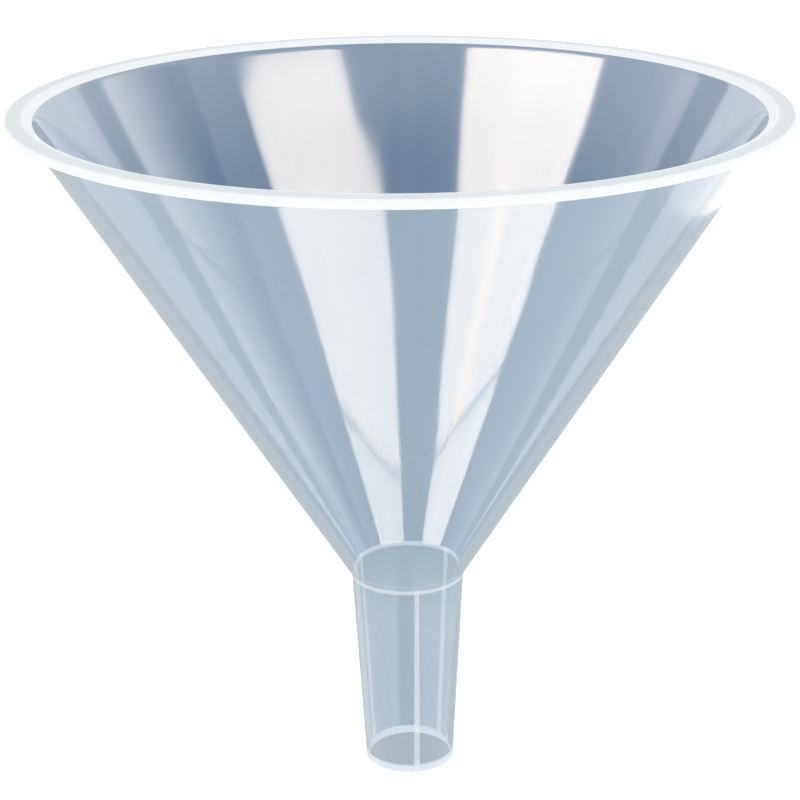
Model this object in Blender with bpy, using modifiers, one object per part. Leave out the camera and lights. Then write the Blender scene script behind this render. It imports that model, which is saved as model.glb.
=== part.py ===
"""Conical laboratory funnel, moulded in translucent plastic.

Metres, +Z up. The origin is on the funnel's axis, in the plane where a support ring
meets the outside of the cone. -Y is the front. Every round part is a section, drawn
as (radius, height), turned about the axis.
"""

import math

import bmesh
import bpy
from mathutils import Vector

# Driving dimensions
TOTAL_HEIGHT = 0.1400
RIM_RADIUS = 0.0750
RIM_THICKNESS = 0.0020
RIM_EDGE_ROUND = 0.0005
LIP_ROUND = 0.0025
CONE_TOP_RADIUS = 0.0714
CONE_HALF_ANGLE = math.radians(32.0)
CONE_WALL = 0.0018
SEAT_RADIUS = 0.0500
THROAT_ROUND = 0.0040
BORE_EDGE_ROUND = 0.0010
COLLAR_ABOVE = 0.0020
COLLAR_BELOW = 0.0012
STEM_TOP_RADIUS = 0.0115
STEM_END_RADIUS = 0.00915
STEM_WALL = 0.0012
MOUTH_BEVEL_HEIGHT = 0.0018
MOUTH_BEVEL_DEPTH = 0.0004
RIB_COUNT = 3
RIB_WIDTH = 0.0012
RIB_HEIGHT = 0.0005
RIB_EDGE_ROUND = 0.0002
RIB_END_INSET = 0.0004
FIRST_RIB_ANGLE = math.radians(9.0)

# The space left between neighbouring solids
GAP = 0.0003

# How finely the round shapes are cut
TURN_STEPS = 72
ROUND_STEPS = 4
SMALL_ROUND_STEPS = 2
MERGE_DISTANCE = 0.00001
SHARP_ANGLE = math.radians(30.0)

# Worked out from the driving dimensions
CONE_SLOPE = math.tan(CONE_HALF_ANGLE)
CONE_WALL_ACROSS = CONE_WALL / math.cos(CONE_HALF_ANGLE)
FLANGE_UNDERSIDE = (CONE_TOP_RADIUS - SEAT_RADIUS) / CONE_SLOPE
RIM_TOP = FLANGE_UNDERSIDE + RIM_THICKNESS
JUNCTION = -(SEAT_RADIUS - STEM_TOP_RADIUS) / CONE_SLOPE
STEM_END = RIM_TOP - TOTAL_HEIGHT
STEM_SLOPE = (STEM_TOP_RADIUS - STEM_END_RADIUS) / (JUNCTION - STEM_END)
STEM_TAPER = math.atan(STEM_SLOPE)
COLLAR_TOP = JUNCTION + COLLAR_ABOVE
COLLAR_END = JUNCTION - COLLAR_BELOW

# Colours
CLEAR_PLASTIC = (0.62, 0.70, 0.76)
WHITER_PLASTIC = (0.86, 0.89, 0.92)


def cone_outside(height):
    """Radius of the cone's outer face at a height."""
    return SEAT_RADIUS + CONE_SLOPE * height


def cone_inside(height):
    """Radius of the cone's inner face at a height."""
    return cone_outside(height) - CONE_WALL_ACROSS


def stem_outside(height):
    """Radius of the stem's outer face at a height."""
    return STEM_TOP_RADIUS - STEM_SLOPE * (JUNCTION - height)


def stem_inside(height):
    """Radius of the stem's bore at a height."""
    return stem_outside(height) - STEM_WALL


def bore_edge_height():
    """Height at which the cone's inner face meets the stem's bore."""
    step_in = stem_inside(JUNCTION) - cone_inside(JUNCTION)
    return JUNCTION + step_in / (CONE_SLOPE - STEM_SLOPE)


def rounded_corner(before, corner, after, radius, steps=ROUND_STEPS):
    """Points of the arc that rounds a corner between two straight runs of a section."""
    corner = Vector(corner)
    back = (Vector(before) - corner).normalized()
    ahead = (Vector(after) - corner).normalized()
    half = back.angle(ahead) / 2
    centre = corner + (back + ahead).normalized() * radius / math.sin(half)
    reach = radius / math.tan(half)
    start = (corner + back * reach - centre).normalized()
    end = (corner + ahead * reach - centre).normalized()
    return [centre + radius * start.slerp(end, step / steps) for step in range(steps + 1)]


def plastic(name, colour):
    """A smooth, slightly see-through plastic."""
    material = bpy.data.materials.new(name)
    material.use_nodes = True
    shader = material.node_tree.nodes["Principled BSDF"]
    shader.inputs["Base Color"].default_value = (*colour, 1.0)
    shader.inputs["Roughness"].default_value = 0.25
    shader.inputs["Metallic"].default_value = 0.0
    shader.inputs["Alpha"].default_value = 0.75
    return material


def turned(name, section, colour, collection, parent):
    """Turns a closed section, which runs down the outside and up the inside."""
    count = len(section)
    outline = bpy.data.meshes.new(name + "_section")
    outline.from_pydata(
        [(radius, 0.0, height) for radius, height in section],
        [(point, (point + 1) % count) for point in range(count)],
        [],
    )
    section_object = bpy.data.objects.new(name + "_section", outline)
    collection.objects.link(section_object)
    screw = section_object.modifiers.new("Turn", "SCREW")
    screw.axis = "Z"
    screw.angle = 2 * math.pi
    screw.steps = TURN_STEPS
    screw.render_steps = TURN_STEPS
    screw.use_merge_vertices = True
    screw.merge_threshold = MERGE_DISTANCE
    turned_object = section_object.evaluated_get(bpy.context.evaluated_depsgraph_get())
    mesh = bpy.data.meshes.new_from_object(turned_object)
    bpy.data.objects.remove(section_object, do_unlink=True)
    bpy.data.meshes.remove(outline)
    mesh.name = name
    mesh.shade_smooth()
    mesh.set_sharp_from_angle(angle=SHARP_ANGLE)
    mesh.materials.append(plastic(name + "_plastic", colour))
    obj = bpy.data.objects.new(name, mesh)
    collection.objects.link(obj)
    obj.parent = parent
    return obj


def make_rim_flange(collection, parent):
    """The flat collar round the mouth, with its rounded inner lip."""
    top_outer = (RIM_RADIUS, RIM_TOP)
    bottom_outer = (RIM_RADIUS, FLANGE_UNDERSIDE)
    bottom_inner = (cone_inside(FLANGE_UNDERSIDE), FLANGE_UNDERSIDE)
    top_inner = (cone_inside(RIM_TOP), RIM_TOP)
    section = rounded_corner(top_inner, top_outer, bottom_outer, RIM_EDGE_ROUND)
    section += rounded_corner(top_outer, bottom_outer, bottom_inner, RIM_EDGE_ROUND)
    section.append(bottom_inner)
    section += rounded_corner(bottom_inner, top_inner, top_outer, LIP_ROUND)
    return turned("rim_flange", section, WHITER_PLASTIC, collection, parent)


def make_cone_bowl(collection, parent):
    """The conical wall, from under the rim to the throat."""
    top = FLANGE_UNDERSIDE - GAP
    end = COLLAR_TOP + GAP
    section = [
        (cone_outside(top), top),
        (cone_outside(end), end),
        (cone_inside(end), end),
        (cone_inside(top), top),
    ]
    return turned("cone_bowl", section, CLEAR_PLASTIC, collection, parent)


def make_throat_collar(collection, parent):
    """The blend between cone and stem, rounded outside and at the bore's edge."""
    edge = bore_edge_height()
    top_outer = (cone_outside(COLLAR_TOP), COLLAR_TOP)
    junction = (STEM_TOP_RADIUS, JUNCTION)
    end_outer = (stem_outside(COLLAR_END), COLLAR_END)
    end_inner = (stem_inside(COLLAR_END), COLLAR_END)
    bore_edge = (stem_inside(edge), edge)
    top_inner = (cone_inside(COLLAR_TOP), COLLAR_TOP)
    section = [top_outer]
    section += rounded_corner(top_outer, junction, end_outer, THROAT_ROUND)
    section += [end_outer, end_inner]
    section += rounded_corner(
        end_inner, bore_edge, top_inner, BORE_EDGE_ROUND, SMALL_ROUND_STEPS
    )
    section.append(top_inner)
    return turned("throat_collar", section, CLEAR_PLASTIC, collection, parent)


def make_stem_tube(collection, parent):
    """The tapered outlet tube, bevelled inside its mouth to a thin drip edge."""
    top = COLLAR_END - GAP
    bevel = STEM_END + MOUTH_BEVEL_HEIGHT
    section = [
        (stem_outside(top), top),
        (stem_outside(STEM_END), STEM_END),
        (stem_inside(STEM_END) + MOUTH_BEVEL_DEPTH, STEM_END),
        (stem_inside(bevel), bevel),
        (stem_inside(top), top),
    ]
    return turned("stem_tube", section, CLEAR_PLASTIC, collection, parent)


def make_rib_mesh(length):
    """A rib standing along Z, its width along X and its height along Y."""
    mesh = bpy.data.meshes.new("vent_rib")
    shape = bmesh.new()
    bmesh.ops.create_cube(shape, size=1.0)
    bmesh.ops.scale(shape, vec=(RIB_WIDTH, RIB_HEIGHT, length), verts=shape.verts)
    shape.to_mesh(mesh)
    shape.free()
    mesh.materials.append(plastic("vent_rib_plastic", WHITER_PLASTIC))
    return mesh


def make_vent_ribs(collection, parent):
    """Ribs evenly spaced round the stem, leaning with its taper."""
    top = COLLAR_END - GAP
    end = STEM_END + RIB_END_INSET
    middle = (top + end) / 2
    standoff = stem_outside(middle) + (GAP + RIB_HEIGHT / 2) / math.cos(STEM_TAPER)
    mesh = make_rib_mesh((top - end) / math.cos(STEM_TAPER))
    for number in range(RIB_COUNT):
        angle = FIRST_RIB_ANGLE + number * 2 * math.pi / RIB_COUNT
        rib = bpy.data.objects.new(f"vent_rib_{number + 1}", mesh)
        collection.objects.link(rib)
        rib.parent = parent
        rib.location = (standoff * math.sin(angle), -standoff * math.cos(angle), middle)
        rib.rotation_euler = (STEM_TAPER, 0.0, angle)
        edges = rib.modifiers.new("Edges", "BEVEL")
        edges.width = RIB_EDGE_ROUND
        edges.segments = 1


def build():
    for old in list(bpy.data.objects):
        bpy.data.objects.remove(old, do_unlink=True)
    collection = bpy.data.collections.new("laboratory_funnel")
    bpy.context.scene.collection.children.link(collection)
    axis = bpy.data.objects.new("funnel_axis", None)
    collection.objects.link(axis)
    make_rim_flange(collection, axis)
    make_cone_bowl(collection, axis)
    make_throat_collar(collection, axis)
    make_stem_tube(collection, axis)
    make_vent_ribs(collection, axis)


build()
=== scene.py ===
import math

import bmesh
import bpy
from mathutils import Matrix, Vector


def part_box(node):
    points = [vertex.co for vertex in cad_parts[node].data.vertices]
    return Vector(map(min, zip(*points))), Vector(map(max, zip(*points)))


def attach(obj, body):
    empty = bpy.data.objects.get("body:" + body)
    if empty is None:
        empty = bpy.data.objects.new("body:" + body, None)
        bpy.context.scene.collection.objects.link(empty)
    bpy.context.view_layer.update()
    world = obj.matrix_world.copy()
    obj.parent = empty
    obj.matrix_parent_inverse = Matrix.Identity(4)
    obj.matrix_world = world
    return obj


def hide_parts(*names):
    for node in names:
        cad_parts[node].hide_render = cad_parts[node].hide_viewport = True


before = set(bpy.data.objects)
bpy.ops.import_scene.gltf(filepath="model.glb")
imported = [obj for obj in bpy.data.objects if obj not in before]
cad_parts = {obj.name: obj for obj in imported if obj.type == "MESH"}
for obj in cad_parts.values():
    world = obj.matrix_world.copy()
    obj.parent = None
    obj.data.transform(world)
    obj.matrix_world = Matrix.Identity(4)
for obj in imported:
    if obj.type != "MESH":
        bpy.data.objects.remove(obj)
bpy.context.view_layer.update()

print("frame loaded:", len(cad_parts), "parts")

tiny = 0.00001  # metres; closer than this is the same place


# Radii of a turned part's corners at one height
def radiiAt(node, height):
    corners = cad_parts[node].data.vertices
    return [corner.co.xy.length for corner in corners if abs(corner.co.z - height) < tiny]


# The straight line through two (radius, height) points, as a radius for each height
def slopeLine(upper, lower):
    lean = (upper[0] - lower[0]) / (upper[1] - lower[1])
    return lambda height: lower[0] + lean * (height - lower[1])


# The height where two such lines cross
def crossing(first, second):
    apart = first(0.0) - second(0.0)
    return apart / (apart - (first(1.0) - second(1.0)))


rimLow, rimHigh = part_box("rim_flange")
bowlLow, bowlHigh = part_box("cone_bowl")
collarLow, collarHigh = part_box("throat_collar")
stemLow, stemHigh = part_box("stem_tube")

rimRadius = rimHigh.x
rimTop = rimHigh.z
bowlTop = rimLow.z
bowlEnd = collarHigh.z
collarEnd = stemHigh.z
stemEnd = stemLow.z

coneOutside = slopeLine(
    (max(radiiAt("cone_bowl", bowlHigh.z)), bowlHigh.z),
    (max(radiiAt("cone_bowl", bowlLow.z)), bowlLow.z),
)
coneInside = slopeLine(
    (min(radiiAt("cone_bowl", bowlHigh.z)), bowlHigh.z),
    (min(radiiAt("cone_bowl", bowlLow.z)), bowlLow.z),
)
coneLean = math.atan(coneOutside(1.0) - coneOutside(0.0))

stemTopRadii = radiiAt("stem_tube", stemHigh.z)
stemOutside = slopeLine(
    (max(stemTopRadii), stemHigh.z), (max(radiiAt("stem_tube", stemEnd)), stemEnd)
)
stemWall = max(stemTopRadii) - min(stemTopRadii)
stemTaper = math.atan(stemOutside(1.0) - stemOutside(0.0))


def stemInside(height):
    return stemOutside(height) - stemWall


junction = crossing(coneOutside, stemOutside)
boreEdge = crossing(coneInside, stemInside)

stemShape = {"bevelHeight": 0.0018, "bevelDepth": 0.0004}
bevelTop = stemEnd + stemShape["bevelHeight"]

ribShape = {
    "topWidth": 0.0008,
    "endWidth": 0.0012,
    "height": 0.0005,  # above the stem
    "sunk": 0.0003,  # into the stem
    "round": 0.00018,
    "roundSegments": 3,
}
ribNodes = ["vent_rib_1", "vent_rib_2", "vent_rib_3"]


# How far round from the front a rib stands
def ribTurn(node):
    low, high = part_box(node)
    return math.atan2(low.x + high.x, -(low.y + high.y))


# A shader socket that can be added, multiplied and so on, as if it were a number
class Wire:
    def __init__(self, nodes, socket):
        self.nodes = nodes
        self.socket = socket

    def maths(self, operation, first, second=0.0, clamp=False):
        settings = {"operation": operation, "use_clamp": clamp}
        return self.nodes.add("Math", settings, {0: first, 1: second})

    def __add__(self, other):
        return self.maths("ADD", self, other)

    def __sub__(self, other):
        return self.maths("SUBTRACT", self, other)

    def __rsub__(self, other):
        return self.maths("SUBTRACT", other, self)

    def __mul__(self, other):
        return self.maths("MULTIPLY", self, other)

    def __truediv__(self, other):
        return self.maths("DIVIDE", self, other)

    def __rtruediv__(self, other):
        return self.maths("DIVIDE", other, self)

    def __rpow__(self, other):
        return self.maths("POWER", other, self)

    def __abs__(self):
        return self.maths("ABSOLUTE", self)

    __radd__ = __add__
    __rmul__ = __mul__

    def clamped(self):
        return self.maths("ADD", self, 0.0, clamp=True)

    def above(self, limit):
        return self.maths("GREATER_THAN", self, limit)


# The nodes of a material or of the room
class Nodes:
    def __init__(self, tree):
        self.tree = tree

    # Any node: its settings first, then the values or links of its sockets
    def add(self, kind, settings=None, inputs=None, output=0):
        node = self.tree.nodes.new("ShaderNode" + kind)
        for name, value in (settings or {}).items():
            setattr(node, name, value)
        for name, value in (inputs or {}).items():
            self.feed(node.inputs[name], value)
        return Wire(self, node.outputs[output])

    def feed(self, socket, value):
        if isinstance(value, Wire):
            self.tree.links.new(value.socket, socket)
        else:
            socket.default_value = value

    def blend(self, factor, first, second):
        colours = {0: factor, 6: first, 7: second}
        return self.add("Mix", {"data_type": "RGBA"}, colours, output=2)

    def place(self):
        return self.add("TexCoord", output="Object")

    # How far a place is along one axis
    def along(self, place, axis):
        return self.add("SeparateXYZ", None, {0: place}, output=axis)

    # A place moved straight down or up to the height of the origin
    def flattened(self, place):
        return self.add("VectorMath", {"operation": "MULTIPLY"}, {0: place, 1: (1, 1, 0.0)})

    # What sort of ray is looking
    def ray(self, kind):
        return self.add("LightPath", output=kind)

    # 0 below one value and 1 above the other, with a smooth step between
    def step(self, value, start, end):
        limits = {"Value": value, "From Min": start, "From Max": end}
        return self.add("MapRange", {"interpolation_type": "SMOOTHSTEP"}, limits)

    # 1 at the middle of a band and 0 outside it, with soft edges
    def band(self, value, middle, halfWidth):
        return self.step(abs(value - middle), halfWidth * 1.5, halfWidth * 0.7)

    # Noise from -1 to 1
    def noise(self, place, scale, detail):
        inputs = {"Vector": place, "Scale": scale, "Detail": detail}
        return (self.add("TexNoise", None, inputs) - 0.5) * 2.0

    # Cloudy noise, its features about this long in metres
    def clouds(self, place, length, detail=2.0):
        return self.noise(place, 1.0 / length, detail)

    # Flow marks, which run from the throat outwards and change only round the part
    def flowMarks(self, place, count, detail=2.0):
        flat = self.flattened(place)
        around = self.add("VectorMath", {"operation": "NORMALIZE"}, {0: flat})
        return self.noise(around, count, detail)


# A material being built: its nodes, its one plastic shader and its output
class Finish(Nodes):
    def __init__(self, name):
        self.material = bpy.data.materials.new(name)
        self.material.use_nodes = True
        super().__init__(self.material.node_tree)
        self.shader = self.tree.nodes["Principled BSDF"]
        self.output = self.tree.nodes["Material Output"]

    def set(self, values):
        for name, value in values.items():
            self.feed(self.shader.inputs[name], value)

    # How squarely the surface is looked at: 1 face on, 0 edge on
    def squareness(self):
        return 1.0 - self.add("LayerWeight", None, {"Blend": 0.5}, output="Facing")

    # 1 on the side that a face points to, 0 on its back
    def fromFront(self):
        return 1.0 - self.add("NewGeometry", output="Backfacing")

    # Light on its way to other surfaces passes as through the thin clear wall
    def letLightThrough(self, tint):
        clear = self.add("BsdfTransparent", None, {"Color": tint})
        shaders = {0: self.ray("Is Camera Ray"), 1: clear, 2: Wire(self, self.shader.outputs[0])}
        look = self.add("MixShader", None, shaders)
        self.tree.links.new(look.socket, self.output.inputs["Surface"])


lightTint = (0.93, 0.95, 0.97, 1.0)

wallLook = {
    "insidePaintedRoom": (0.112, 0.190, 0.300, 1.0),  # painted deep blue grey: the dark room seen through the clear wall, painted onto its inner faces
    "insideAlpha": 0.93,
    "insideRoughness": 0.088,
    "insidePaler": 0.04,  # share of the dense colour all over
    "underRimPaintedLight": 0.16,  # painted light: more of it just under the rim, which gets more light from the room than the wall deeper in the bowl
    "underRimDepth": 0.024,  # metres
    "densePaler": 0.8,
    "waveHeight": 0.00012,  # metres
    "waveLength": 0.030,
    "outsideColour": (0.73, 0.85, 0.92, 1.0),  # milky veil of the wall seen from outside
    "edgeColour": (0.50, 0.57, 0.63, 1.0),  # where the veil is looked along, not through
    "edgeStarts": 0.72,  # squareness where the edge colour starts, and where it is full
    "edgeFull": 0.08,
    "leastSquareness": 0.02,
    "outsideClearness": 0.80,  # share of light through it, face on
    "denseMilk": 0.75,
    "outsideRoughness": 0.20,
    "outsideShine": 0.3,
    "denseColour": (0.82, 0.86, 0.92, 1.0),  # thick places, where the plastic is milkiest
}

stemLook = dict(
    wallLook,
    # painted deep blue grey: the dark room seen through the stem's clear wall
    insidePaintedRoom=(0.15, 0.23, 0.30, 1.0),
    outsideColour=(0.66, 0.76, 0.84, 1.0),
    outsideClearness=0.74,
)

# Unevenness of the moulding: how finely flow marks divide the turn, how long clouds are
# in metres, and how much each changes the look
insideMarks = {
    "flowCount": 9.0,
    "cloudLength": 0.018,
    "palerByFlow": 0.04,
    "palerByCloud": 0.03,
    "rougherByCloud": 0.01,
}
outsideMarks = {
    "flowCount": 7.0,
    "cloudLength": 0.014,
    "milkByFlow": 0.045,
    "milkByCloud": 0.025,
    "rougherByCloud": 0.05,
}


# Inner faces: glossy, painted deep blue grey for the dark room seen through the clear wall, with
# painted light just under the rim, and not there from behind
def makeInside(name, look, dense=None):
    finish = Finish(name)
    place = finish.place()
    flow = finish.flowMarks(place, insideMarks["flowCount"])
    cloud = finish.clouds(place, insideMarks["cloudLength"])
    # painted light: paler just under the rim, fading out further down the bowl
    paintedLightUnderRim = finish.step(finish.along(place, "Z"), bowlTop - look["underRimDepth"], rimTop)
    paler = look["insidePaler"] + insideMarks["palerByFlow"] * flow
    paler = paler + insideMarks["palerByCloud"] * cloud
    paler = paler + look["underRimPaintedLight"] * paintedLightUnderRim
    if dense:
        paler = paler + look["densePaler"] * dense(finish, place)
    # painted dark room seen through the wall, made paler by milky places, moulding marks and the
    # painted light under the rim
    colour = finish.blend(paler.clamped(), look["insidePaintedRoom"], look["denseColour"])
    waves = finish.clouds(place, look["waveLength"], detail=1.0)
    normal = finish.add("Bump", None, {"Height": waves, "Distance": look["waveHeight"]})
    alpha = finish.fromFront() * look["insideAlpha"]
    roughness = (look["insideRoughness"] + insideMarks["rougherByCloud"] * cloud).clamped()
    finish.set({"Base Color": colour, "Alpha": alpha, "Normal": normal})
    finish.set({"Roughness": roughness})
    finish.letLightThrough(lightTint)
    return finish.material


# Outer faces: a thin milky veil, thicker where it is looked along, and not there from behind
def makeOutside(name, look, dense=None):
    finish = Finish(name)
    place = finish.place()
    flow = finish.flowMarks(place, outsideMarks["flowCount"])
    cloud = finish.clouds(place, outsideMarks["cloudLength"])
    square = (finish.squareness() + look["leastSquareness"]).clamped()
    milk = 1.0 + outsideMarks["milkByFlow"] * flow + outsideMarks["milkByCloud"] * cloud
    through = look["outsideClearness"] ** (milk / square)
    edge = finish.step(square, look["edgeStarts"], look["edgeFull"])
    colour = finish.blend(edge, look["outsideColour"], look["edgeColour"])
    if dense:
        thick = dense(finish, place)
        colour = finish.blend(thick, colour, look["denseColour"])
        through = through * (1.0 - look["denseMilk"] * thick)
    alpha = finish.fromFront() * (1.0 - through)
    roughness = (look["outsideRoughness"] + outsideMarks["rougherByCloud"] * cloud).clamped()
    finish.set({"Base Color": colour, "Alpha": alpha, "Roughness": roughness})
    finish.set({"Specular IOR Level": look["outsideShine"]})
    finish.letLightThrough(lightTint)
    return finish.material


# The cut between two neighbours: the real plastic runs straight on, so nothing is seen
def makeSeam(name):
    finish = Finish(name)
    finish.set({"Base Color": wallLook["outsideColour"], "Alpha": 0.0, "Roughness": 0.3})
    return finish.material


rimLook = {
    "colour": (0.905, 0.925, 0.94, 1.0),
    "overhangColour": (0.78, 0.83, 0.85, 1.0),  # the thin part that stands out past the wall
    "overhangStarts": 0.0002,  # metres past the wall
    "overhangFull": 0.0010,
    "roughness": 0.40,
    "rougherByCloud": 0.05,
    "cloudLength": 0.012,
    "shine": 0.0,
    "alpha": 0.97,
    "overhangAlpha": 0.94,
}


# The rim: nearly white over the wall, and on flat faces greyer and clearer in its overhang
def makeRimFinish(name, look, overhangs):
    finish = Finish(name)
    place = finish.place()
    cloud = finish.clouds(place, look["cloudLength"])
    colour = look["colour"]
    solid = look["alpha"]
    if overhangs:
        flat = finish.flattened(place)
        radius = finish.add("VectorMath", {"operation": "LENGTH"}, {0: flat}, output="Value")
        wall = coneOutside(bowlTop)
        starts = wall + look["overhangStarts"]
        overhang = finish.step(radius, starts, wall + look["overhangFull"])
        colour = finish.blend(overhang, colour, look["overhangColour"])
        solid = solid - overhang * (look["alpha"] - look["overhangAlpha"])
    roughness = (look["roughness"] + look["rougherByCloud"] * cloud).clamped()
    finish.set({"Base Color": colour, "Alpha": finish.fromFront() * solid})
    finish.set({"Roughness": roughness, "Specular IOR Level": look["shine"]})
    return finish.material


# How milky the stem is: its thick root and drip edge, and behind each rib; and how much paler
# its bore grows further down
stemMilk = {
    "root": 0.7,
    "rootBand": 0.00045,  # half its height, metres
    "outerEdgeStarts": 0.0003,  # metres above the bevel
    "outerEdgeFull": -0.0005,
    "innerEdgeStarts": 0.0002,
    "rib": 0.5,
    "ribFade": 0.002,  # metres from the middle of the bore
    "bore": 0.38,
    "boreFade": 0.018,  # metres down from its top
    "stripe": 0.6,  # how much less down the bore's darker stripe
    "stripeMiddle": -0.0006,
    "stripeHalfWidth": 0.0015,
}


def stemRootAndEnd(finish, place):
    height = finish.along(place, "Z")
    root = finish.band(height, junction, stemMilk["rootBand"])
    starts = bevelTop + stemMilk["outerEdgeStarts"]
    end = finish.step(height, starts, bevelTop + stemMilk["outerEdgeFull"])
    return (stemMilk["root"] * root + end).clamped()


def stemThickInside(finish, place):
    height = finish.along(place, "Z")
    across = finish.along(place, "X")
    deep = finish.along(place, "Y")
    thick = stemMilk["root"] * finish.band(height, boreEdge, stemMilk["rootBand"])
    thick = thick + finish.step(height, bevelTop + stemMilk["innerEdgeStarts"], bevelTop)
    for turn in [ribTurn(node) for node in ribNodes]:
        sideways = across * math.cos(turn) + deep * math.sin(turn)
        outwards = across * math.sin(turn) - deep * math.cos(turn)
        rib = finish.band(sideways, 0.0, ribShape["endWidth"] / 2)
        rib = rib * stemMilk["rib"]
        thick = thick + rib * finish.step(outwards, 0.0, stemMilk["ribFade"])
    # paler further down the bore, less so along a stripe down its middle
    stripe = finish.band(across, stemMilk["stripeMiddle"], stemMilk["stripeHalfWidth"])
    below = finish.step(height, boreEdge, boreEdge - stemMilk["boreFade"])
    pale = stemMilk["bore"] * below * (1.0 - stemMilk["stripe"] * stripe)
    return (thick + pale).clamped()


ribLook = {
    "colour": (0.86, 0.90, 0.95, 1.0),
    "alpha": 0.5,
    "alphaByCloud": 0.06,
    "cloudLength": 0.006,
    "roughness": 0.3,
}


def makeRibFinish(name, look):
    finish = Finish(name)
    cloud = finish.clouds(finish.place(), look["cloudLength"])
    alpha = finish.fromFront() * (look["alpha"] + look["alphaByCloud"] * cloud)
    finish.set({"Base Color": look["colour"], "Alpha": alpha, "Roughness": look["roughness"]})
    finish.letLightThrough(lightTint)
    return finish.material


seam = makeSeam("seam")
bowlInside = makeInside("bowl_inside", wallLook)
bowlFinishes = [bowlInside, makeOutside("bowl_outside", wallLook), seam]
stemFinishes = [
    makeInside("stem_inside", stemLook, stemThickInside),
    makeOutside("stem_outside", stemLook, stemRootAndEnd),
    seam,
]
rimFinishes = [
    makeRimFinish("rim_top", rimLook, True),
    makeRimFinish("rim_side", rimLook, False),
    seam,
    bowlInside,
]
ribFinishes = [makeRibFinish("rib_plastic", ribLook)]
print("finishes made")

# Places in a piece's list of finishes
insideFinish, outsideFinish, seamFinish, underLipFinish = range(4)

turnSteps = 256
smoothAngle = math.radians(30.0)
levelNormal = 0.99  # a face is level when its normal is this upright
sideNormal = 0.8  # and the rim's side when its normal points this much outwards


# A closed outline of (radius, height) corners, turned once round the axis
def turnOutline(corners):
    shape = bmesh.new()
    points = [shape.verts.new((radius, 0.0, height)) for radius, height in corners]
    lines = [shape.edges.new((point, points[n - 1])) for n, point in enumerate(points)]
    bmesh.ops.spin(
        shape,
        geom=points + lines,
        cent=(0.0, 0.0, 0.0),
        axis=(0.0, 0.0, 1.0),
        angle=2 * math.pi,
        steps=turnSteps,
        use_merge=True,
    )
    bmesh.ops.remove_doubles(shape, verts=shape.verts, dist=tiny / 10)
    bmesh.ops.recalc_face_normals(shape, faces=shape.faces)
    return shape


def roundEdges(shape, edges, reach, segments):
    bmesh.ops.bevel(
        shape,
        geom=edges,
        offset=reach,
        offset_type="OFFSET",
        segments=segments,
        profile=0.5,
        affect="EDGES",
        material=-1,
    )


# Rounds the corner that runs round a turned shape at (radius, height)
def roundRing(shape, radius, height, reach, segments):
    def onRing(point):
        return abs(point.co.xy.length - radius) < tiny and abs(point.co.z - height) < tiny

    ring = [edge for edge in shape.edges if all(onRing(point) for point in edge.verts)]
    roundEdges(shape, ring, reach, segments)


# How far from a corner a round of this radius starts, for a corner of this angle
def roundReach(radius, angle):
    return radius / math.tan(angle / 2)


# Gives each face its finish. On the rim only the upright side counts as outside
def sortFaces(shape, seams, sideOnly=False):
    for face in shape.faces:
        face.smooth = True
        middle = face.calc_center_median()
        outward = face.normal.xy.dot(middle.xy) / middle.xy.length
        onSeam = any(abs(middle.z - height) < tiny for height in seams)
        if onSeam and abs(face.normal.z) > levelNormal:
            face.material_index = seamFinish
        elif sideOnly:
            face.material_index = outsideFinish if outward > sideNormal else insideFinish
        else:
            face.material_index = insideFinish if outward < 0.0 else outsideFinish


# Finishes a shape as a named piece of the funnel
def makePiece(name, shape, finishes, node):
    mesh = bpy.data.meshes.new(name)
    shape.to_mesh(mesh)
    shape.free()
    mesh.set_sharp_from_angle(angle=smoothAngle)
    for finish in finishes:
        mesh.materials.append(finish)
    piece = bpy.data.objects.new(name, mesh)
    bpy.context.scene.collection.objects.link(piece)
    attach(piece, "root")
    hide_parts(node)
    print("made", name, len(mesh.polygons), "faces")


rimShape = {
    "edgeRound": 0.0005,
    "edgeSegments": 4,
    "lipRound": 0.0025,
    "lipSegments": 8,
}


def makeRim():
    corners = [
        (rimRadius, rimTop),
        (rimRadius, bowlTop),
        (coneOutside(bowlTop), bowlTop),
        (coneInside(bowlTop), bowlTop),
        (coneInside(rimTop), rimTop),
    ]
    shape = turnOutline(corners)
    edgeReach = roundReach(rimShape["edgeRound"], math.radians(90.0))
    lipReach = roundReach(rimShape["lipRound"], math.radians(90.0) + coneLean)
    roundRing(shape, rimRadius, rimTop, edgeReach, rimShape["edgeSegments"])
    roundRing(shape, rimRadius, bowlTop, edgeReach, rimShape["edgeSegments"])
    roundRing(shape, coneInside(rimTop), rimTop, lipReach, rimShape["lipSegments"])
    sortFaces(shape, [bowlTop], sideOnly=True)
    # the underside of the overhang is at the seam's height too, but stays visible;
    # below its round lip the rim looks like the wall that it runs on from
    for face in shape.faces:
        middle = face.calc_center_median()
        reach = middle.xy.length
        if face.material_index == seamFinish and reach > coneOutside(bowlTop):
            face.material_index = insideFinish
        if face.material_index == insideFinish and reach < coneInside(middle.z) + tiny:
            face.material_index = underLipFinish
    makePiece("rim", shape, rimFinishes, "rim_flange")


def makeBowl():
    corners = [
        (coneOutside(bowlTop), bowlTop),
        (coneOutside(bowlEnd), bowlEnd),
        (coneInside(bowlEnd), bowlEnd),
        (coneInside(bowlTop), bowlTop),
    ]
    shape = turnOutline(corners)
    sortFaces(shape, [bowlTop, bowlEnd])
    makePiece("bowl", shape, bowlFinishes, "cone_bowl")


collarShape = {"outerRound": 0.004, "outerSegments": 6}


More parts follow.
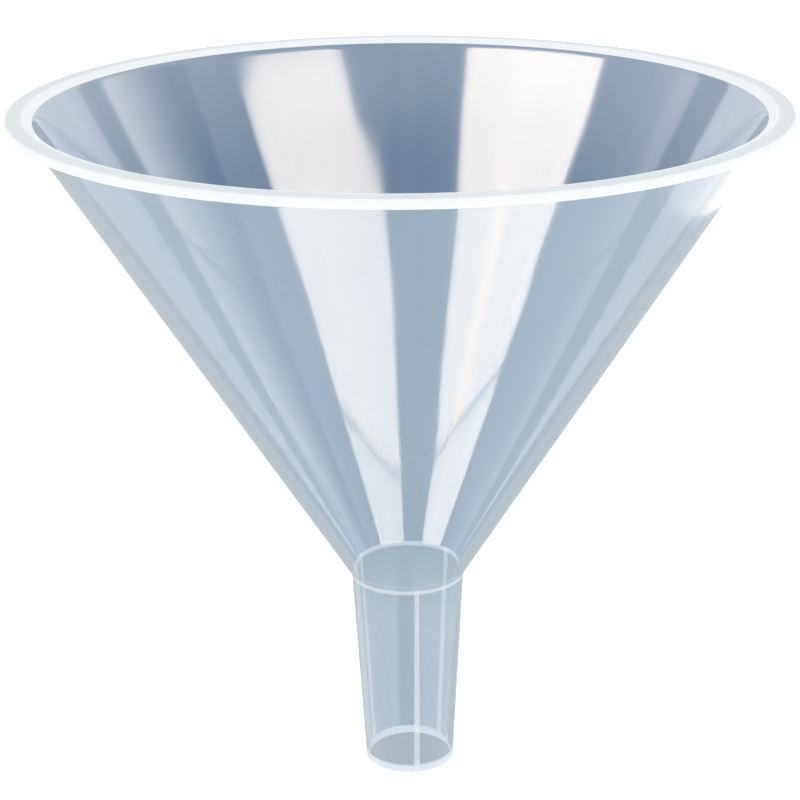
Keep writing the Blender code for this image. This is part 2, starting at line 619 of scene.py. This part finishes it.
def makeCollar():
    corners = [
        (coneOutside(bowlEnd), bowlEnd),
        (stemOutside(junction), junction),
        (stemOutside(collarEnd), collarEnd),
        (stemInside(collarEnd), collarEnd),
        (stemInside(boreEdge), boreEdge),
        (coneInside(bowlEnd), bowlEnd),
    ]
    shape = turnOutline(corners)
    reach = roundReach(collarShape["outerRound"], math.pi - (coneLean - stemTaper))
    segments = collarShape["outerSegments"]
    roundRing(shape, stemOutside(junction), junction, reach, segments)
    sortFaces(shape, [bowlEnd, collarEnd])
    makePiece("collar", shape, stemFinishes, "throat_collar")


def makeStem():
    corners = [
        (stemOutside(collarEnd), collarEnd),
        (stemOutside(stemEnd), stemEnd),
        (stemInside(stemEnd) + stemShape["bevelDepth"], stemEnd),
        (stemInside(bevelTop), bevelTop),
        (stemInside(collarEnd), collarEnd),
    ]
    shape = turnOutline(corners)
    sortFaces(shape, [collarEnd])
    makePiece("stem", shape, stemFinishes, "stem_tube")


# One rib: a slim bar, narrower at the top, leaning with the stem and sunk a little into it
def makeRib(node):
    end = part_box(node)[0].z
    middle = (junction + end) / 2
    length = (junction - end) / math.cos(stemTaper)
    depth = ribShape["height"] + ribShape["sunk"]
    shape = bmesh.new()
    bmesh.ops.create_cube(shape, size=1.0)
    bmesh.ops.scale(shape, vec=(ribShape["endWidth"], depth, length), verts=shape.verts)
    upper = [point for point in shape.verts if point.co.z > 0.0]
    narrow = ribShape["topWidth"] / ribShape["endWidth"]
    bmesh.ops.scale(shape, vec=(narrow, 1.0, 1.0), verts=upper)
    outer = [edge for edge in shape.edges if all(point.co.y < 0.0 for point in edge.verts)]
    roundEdges(shape, outer, ribShape["round"], ribShape["roundSegments"])
    standoff = stemOutside(middle) + (ribShape["height"] - depth / 2) / math.cos(stemTaper)
    lean = Matrix.Rotation(stemTaper, 4, "X")
    out = Matrix.Translation((0.0, -standoff, middle))
    turn = Matrix.Rotation(ribTurn(node), 4, "Z")
    bmesh.ops.transform(shape, matrix=turn @ out @ lean, verts=shape.verts)
    for face in shape.faces:
        face.smooth = True
    makePiece(node.replace("vent_", ""), shape, ribFinishes, node)


makeRim()
makeBowl()
makeCollar()
makeStem()
for node in ribNodes:
    makeRib(node)

view = {
    "back": 5.507,  # rim radii in front of the axis
    "up": 1.134,  # rim radii above the rim
    "pitch": 19.43,  # degrees, as are the next two
    "turn": -1.92,
    "roll": -0.05,
    "lens": 97.8,  # millimetres
    "shift": -0.093,  # share of the frame's width
}


def makeCamera():
    camera = bpy.data.cameras.new("camera")
    camera.lens = view["lens"]
    camera.shift_x = view["shift"]
    holder = bpy.data.objects.new("camera", camera)
    bpy.context.scene.collection.objects.link(holder)
    spot = (0.0, -view["back"] * rimRadius, rimTop + view["up"] * rimRadius)
    aim = Matrix.Rotation(math.radians(view["turn"]), 4, "Z")
    aim = aim @ Matrix.Rotation(math.radians(90.0 - view["pitch"]), 4, "X")
    aim = aim @ Matrix.Rotation(math.radians(view["roll"]), 4, "Z")
    holder.matrix_world = Matrix.Translation(spot) @ aim
    bpy.context.scene.camera = holder


floorLook = {
    "size": 12.0,
    "colour": (0.95, 0.95, 0.95, 1.0),
    "glow": 0.22,
    "paintedRoomThroughPlastic": (0.26, 0.31, 0.34, 1.0),  # a painted darker room, which the floor shows only through clear plastic
    "paintedRoomInReflections": 0.7,  # how much of that painted room reflections show
}


# Puts a shape that isn't part of the funnel into the scene
def stageShape(name, shape, material):
    mesh = bpy.data.meshes.new(name)
    shape.to_mesh(mesh)
    shape.free()
    mesh.materials.append(material)
    staged = bpy.data.objects.new(name, mesh)
    bpy.context.scene.collection.objects.link(staged)
    return staged


def makeFloor():
    finish = Finish("floor_white")
    # painted dark room: the floor turns dark where seen through the plastic and in reflections
    behindPlastic = finish.ray("Transparent Depth").above(0.5)
    dark = floorLook["paintedRoomInReflections"] * finish.ray("Is Glossy Ray")
    dark = (finish.ray("Is Camera Ray") * behindPlastic + dark).clamped()
    colour = finish.blend(dark, floorLook["colour"], floorLook["paintedRoomThroughPlastic"])
    finish.set({"Base Color": colour, "Roughness": 1.0, "Specular IOR Level": 0.0})
    finish.set({"Alpha": finish.fromFront()})  # a view from below sees past it
    finish.set({"Emission Color": colour, "Emission Strength": floorLook["glow"]})
    shape = bmesh.new()
    bmesh.ops.create_grid(shape, x_segments=1, y_segments=1, size=floorLook["size"] / 2)
    bmesh.ops.translate(shape, vec=(0.0, 0.0, stemEnd), verts=shape.verts)
    stageShape("floor", shape, finish.material)


# Glowing panels that only reflections see. Corners in degrees: round from the front
# towards +X, and up. A fading panel glows fully at its first side, and not at its second
panelDistance = 2.5
panels = {
    "rightMain": {
        "corners": [
            (33, 54.4), (28.5, 53.8), (26, 52.6), (22, 51.6), (18, 51), (13, 50.6),
            (10.4, 49), (9.4, 47), (9.2, 43), (9.2, 28), (64, 20), (65.8, 31.5),
            (69, 38.5), (73, 44.2), (50, 51.5),
        ],
        "glow": 17,
        "warmth": 0.74,
    },
    "leftMain": {
        "corners": [
            (-32, 55), (-60, 51), (-88, 42.5), (-84, 35), (-82, 28), (-80, 20),
            (-36, 28), (-36.5, 40.5), (-33, 43.5), (-32, 47), (-30.1, 51.6), (-30.3, 54),
        ],
        "glow": 19,
        "warmth": 0.74,
    },
    "rightSide": {
        "corners": [(92, 12), (127, 12), (127, 27), (92, 40)],
        "glow": 5.2,
        "warmth": 0.9,
        "fade": (127, 92),
    },
    "leftSide": {
        "corners": [(-118.5, 12), (-118.5, 30), (-125, 28), (-125, 12)],
        "glow": 3.2,
        "warmth": 0.9,
    },
    "leftDark": {
        "corners": [(-127, -10), (-127, 30), (-142, 25), (-142, -10)],
        "glow": 0.8,
        "warmth": 1.0,
    },
    "leftCore": {
        "corners": [(-53, 50), (-60, 50), (-57, 20), (-51, 20)],
        "glow": 23,
        "warmth": 0.60,
        "distance": 2.4,
    },
    "rightCore": {
        "corners": [(44, 46), (50, 46), (46, 20), (41, 20)],
        "glow": 20,
        "warmth": 0.60,
        "distance": 2.4,
    },
    "rightDark": {
        "corners": [(128, -10), (128, 27), (138, 25), (138, -10)],
        "glow": 1.3,
        "warmth": 1.0,
    },
}

# A white card low on the right, close to the wall, that its outer face reflects; metres
whiteCard = {
    "corners": [
        (0.092, -0.033, -0.027), (0.077, 0.0, -0.004), (0.071, 0.017, 0.008),
        (0.080, 0.020, 0.018), (0.095, -0.005, 0.006), (0.098, -0.028, -0.014),
    ],
    "glow": 3.3,
    "warmth": 0.85,
}

black = (0.0, 0.0, 0.0, 1.0)
fadeRise = 25.0  # degrees up where a fade is measured


# A place on the sphere of panels round the middle of the rim
def panelSpot(turn, rise, distance=panelDistance):
    around = math.radians(turn)
    up = math.radians(rise)
    reach = distance * math.cos(up)
    height = rimTop + distance * math.sin(up)
    return (reach * math.sin(around), -reach * math.cos(around), height)


# Something flat that glows, seen only by reflections
def hangGlow(name, spots, look):
    finish = Finish(name)
    bright = (1.0, (1.0 + look["warmth"]) / 2, look["warmth"], 1.0)
    if "fade" in look:
        full, none = (panelSpot(turn, fadeRise) for turn in look["fade"])
        shown = finish.step(finish.along(finish.place(), "Y"), none[1], full[1])
        bright = finish.blend(shown, black, bright)
    finish.set({"Base Color": black, "Specular IOR Level": 0.0})
    finish.set({"Emission Color": bright, "Emission Strength": look["glow"]})
    shape = bmesh.new()
    shape.faces.new([shape.verts.new(spot) for spot in spots])
    panel = stageShape(name, shape, finish.material)
    panel.visible_camera = False
    panel.visible_diffuse = False
    panel.visible_transmission = False
    panel.visible_shadow = False


def hangPanel(name, look):
    distance = look.get("distance", panelDistance)
    hangGlow(name, [panelSpot(turn, rise, distance) for turn, rise in look["corners"]], look)


# Light of the room; reflections see a darker front, a brighter back, and a dip right behind
room = {
    "glow": 1.0,
    "frontGloss": 0.5,
    "backGloss": 2.9,
    "dip": 0.5,
    "frontEnds": -0.5,  # how far backwards, from -1 at the front to 1 right behind
    "backStarts": 0.75,
}


def makeRoom():
    world = bpy.data.worlds.new("studio")
    world.use_nodes = True
    sky = Nodes(world.node_tree)
    backwards = sky.along(sky.add("TexCoord", output="Generated"), "Y")
    extra = room["backGloss"] - room["frontGloss"]
    gloss = extra * sky.step(backwards, room["frontEnds"], room["backStarts"])
    gloss = room["frontGloss"] + gloss
    gloss = gloss * (1.0 - room["dip"] * sky.step(backwards, room["backStarts"], 1.0))
    reflected = sky.ray("Is Glossy Ray")
    background = world.node_tree.nodes["Background"]
    sky.feed(background.inputs["Color"], (1.0, 1.0, 1.0, 1.0))
    strength = reflected * gloss + (1.0 - reflected) * room["glow"]
    sky.feed(background.inputs["Strength"], strength)
    bpy.context.scene.world = world


makeCamera()
makeFloor()
for name, panel in panels.items():
    hangPanel(name, panel)
hangGlow("whiteCard", whiteCard["corners"], whiteCard)
makeRoom()
bpy.context.scene.view_settings.view_transform = "Standard"
print("camera, floor and lights set")
